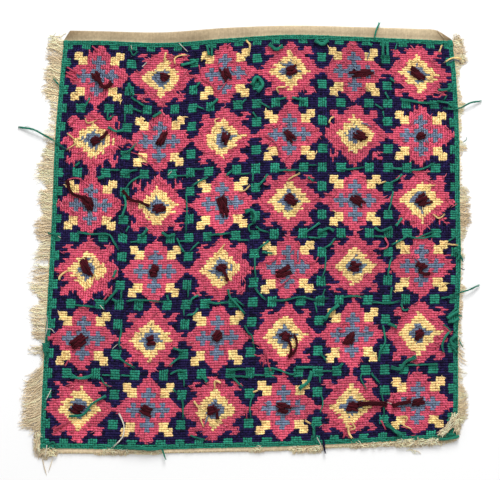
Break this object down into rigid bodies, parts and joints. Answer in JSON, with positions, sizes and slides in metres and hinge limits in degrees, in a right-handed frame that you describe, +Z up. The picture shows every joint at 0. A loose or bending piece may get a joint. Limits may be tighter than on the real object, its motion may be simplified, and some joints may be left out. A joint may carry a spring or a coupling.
{
  "type": "needlepoint panel",
  "caption": "Square of cross-stitched wool on canvas lying flat, wrong side up, with star motifs, yarn knots, a folded canvas strip at the top and ravelled edges",
  "frame": {"origin": "middle of the stitched field, on the flat underside that the panel lies on", "axes": "+Z up out of the side that shows, +Y towards the folded canvas strip, +X to the right as seen from above"},
  "size_m": [0.4644, 0.4375, 0.0078],
  "materials": {
    "worked_wool": "cross-stitched wool seen from its wrong side, matt",
    "canvas_threads": "raw cotton canvas threads, matt",
    "maroon_yarn": "wool yarn, matt",
    "green_yarn": "wool yarn, matt",
    "gold_yarn": "wool yarn, matt",
    "white_yarn": "wool yarn, matt",
    "navy_yarn": "wool yarn, matt"
  },
  "bodies": {
    "root": {"panel": "worked_wool", "fringe_left": "canvas_threads", "fringe_right": "canvas_threads", "fringe_bottom": "canvas_threads", "yarn_red_a": "maroon_yarn", "yarn_red_b": "maroon_yarn", "yarn_red_c": "maroon_yarn", "yarn_red_d": "maroon_yarn", "yarn_red_e": "maroon_yarn", "yarn_red_f": "maroon_yarn", "yarn_green_a": "green_yarn", "yarn_green_b": "green_yarn", "yarn_green_c": "green_yarn", "yarn_green_d": "green_yarn", "yarn_green_e": "green_yarn", "yarn_gold": "gold_yarn", "yarn_white": "white_yarn", "yarn_navy": "navy_yarn"}
  },
  "joints": []
}
